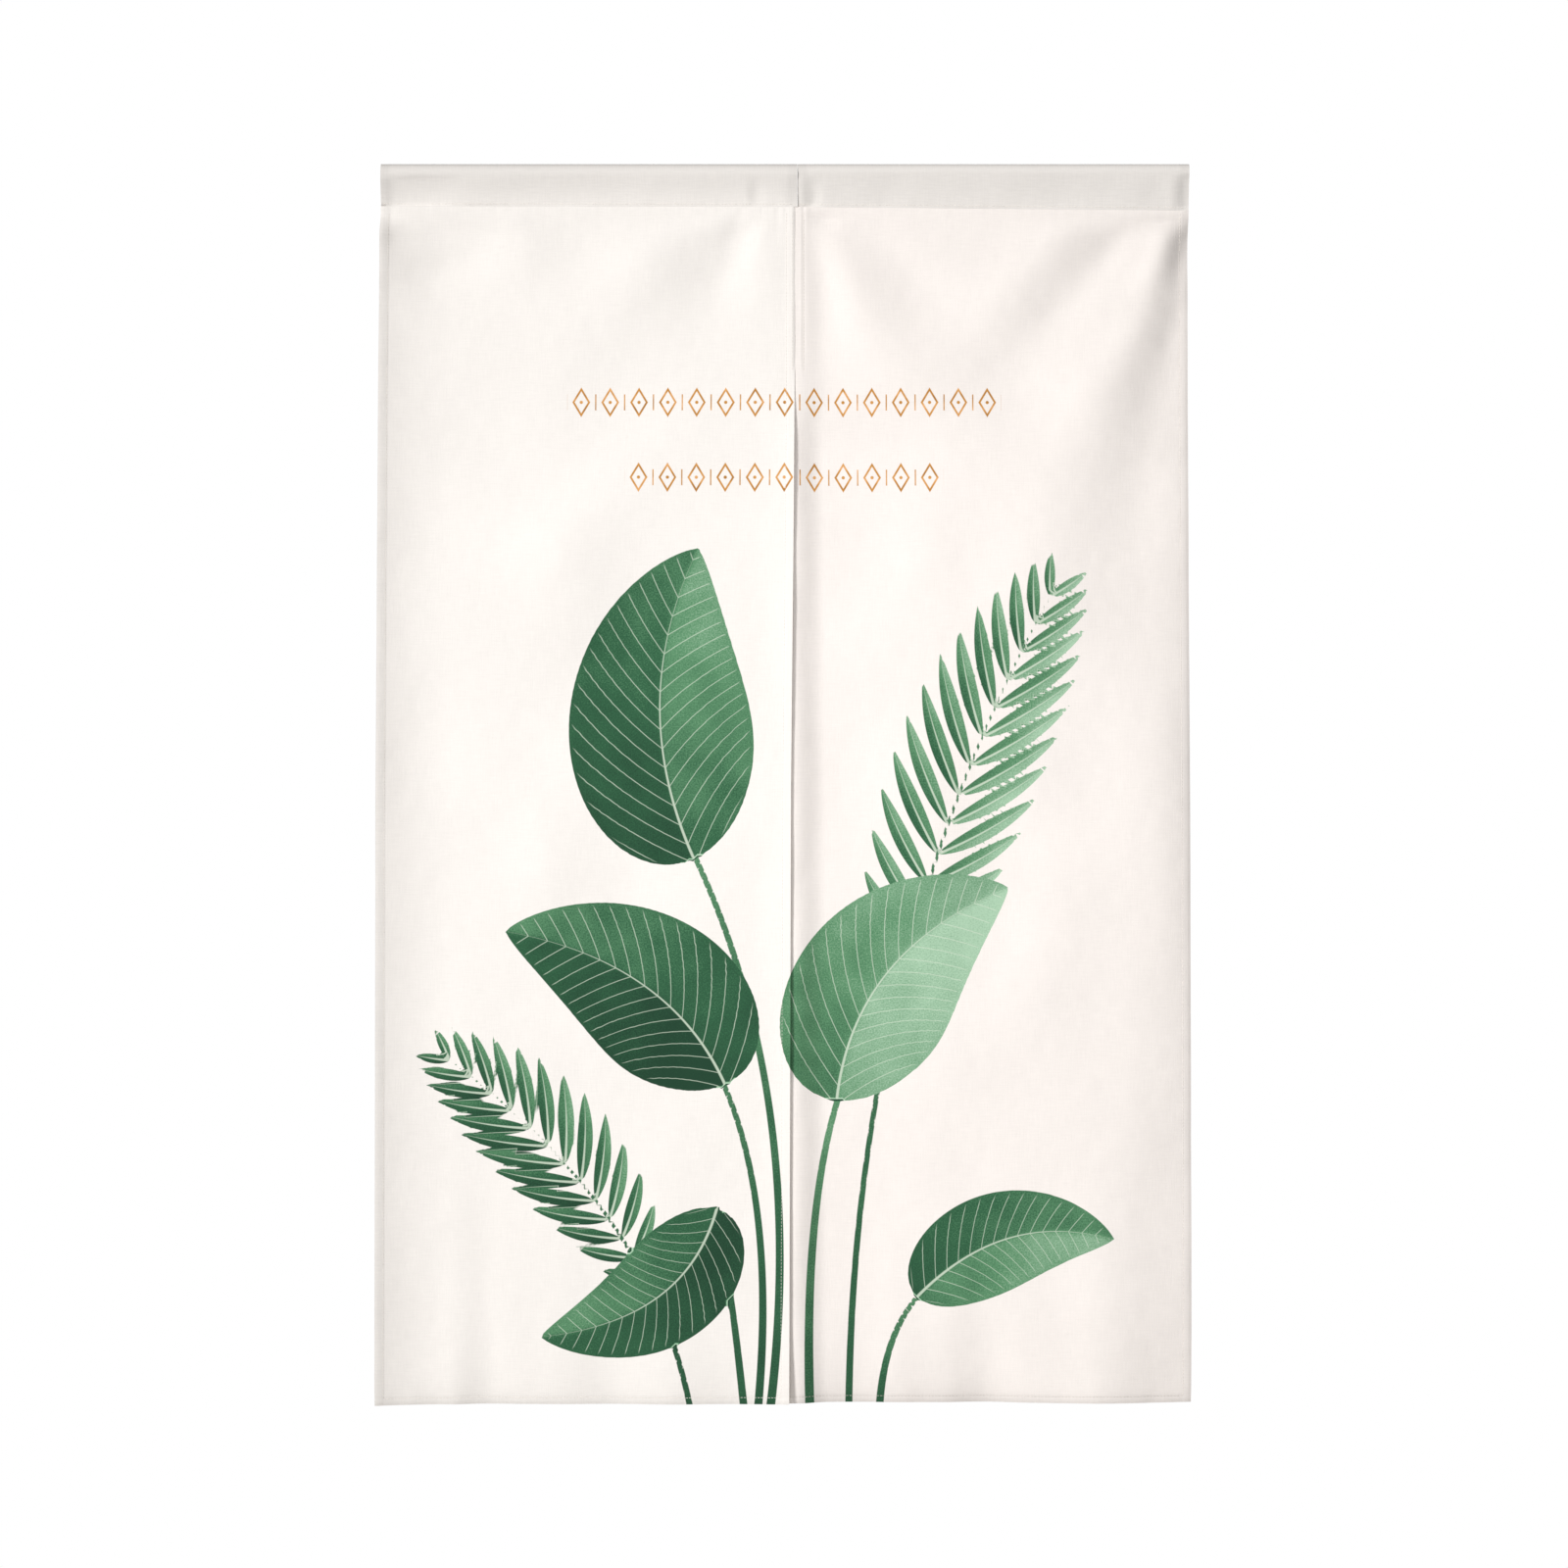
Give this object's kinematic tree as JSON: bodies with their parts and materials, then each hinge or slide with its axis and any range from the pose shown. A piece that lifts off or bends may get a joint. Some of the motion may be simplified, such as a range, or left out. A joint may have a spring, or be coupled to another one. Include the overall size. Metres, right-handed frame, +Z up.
{
  "type": "noren curtain",
  "caption": "Two-panel cloth doorway curtain with a rod pocket along its top, lapped at the middle and slit below the pocket, hanging in soft folds.",
  "frame": {"origin": "middle of the curtain's top edge, over the axis of its rod pocket", "axes": "+X to the right of a viewer who faces the printed front, +Y from the front to the back, +Z up"},
  "size_m": [0.7911, 0.0325, 1.2],
  "materials": {
    "linen": "matt printed cotton-linen, off-white",
    "heading_linen": "matt doubled cotton-linen, a little greyer off-white"
  },
  "bodies": {
    "root": {"left_panel": "linen", "right_panel": "linen", "left_rod_pocket": "heading_linen", "right_rod_pocket": "heading_linen"}
  },
  "joints": []
}
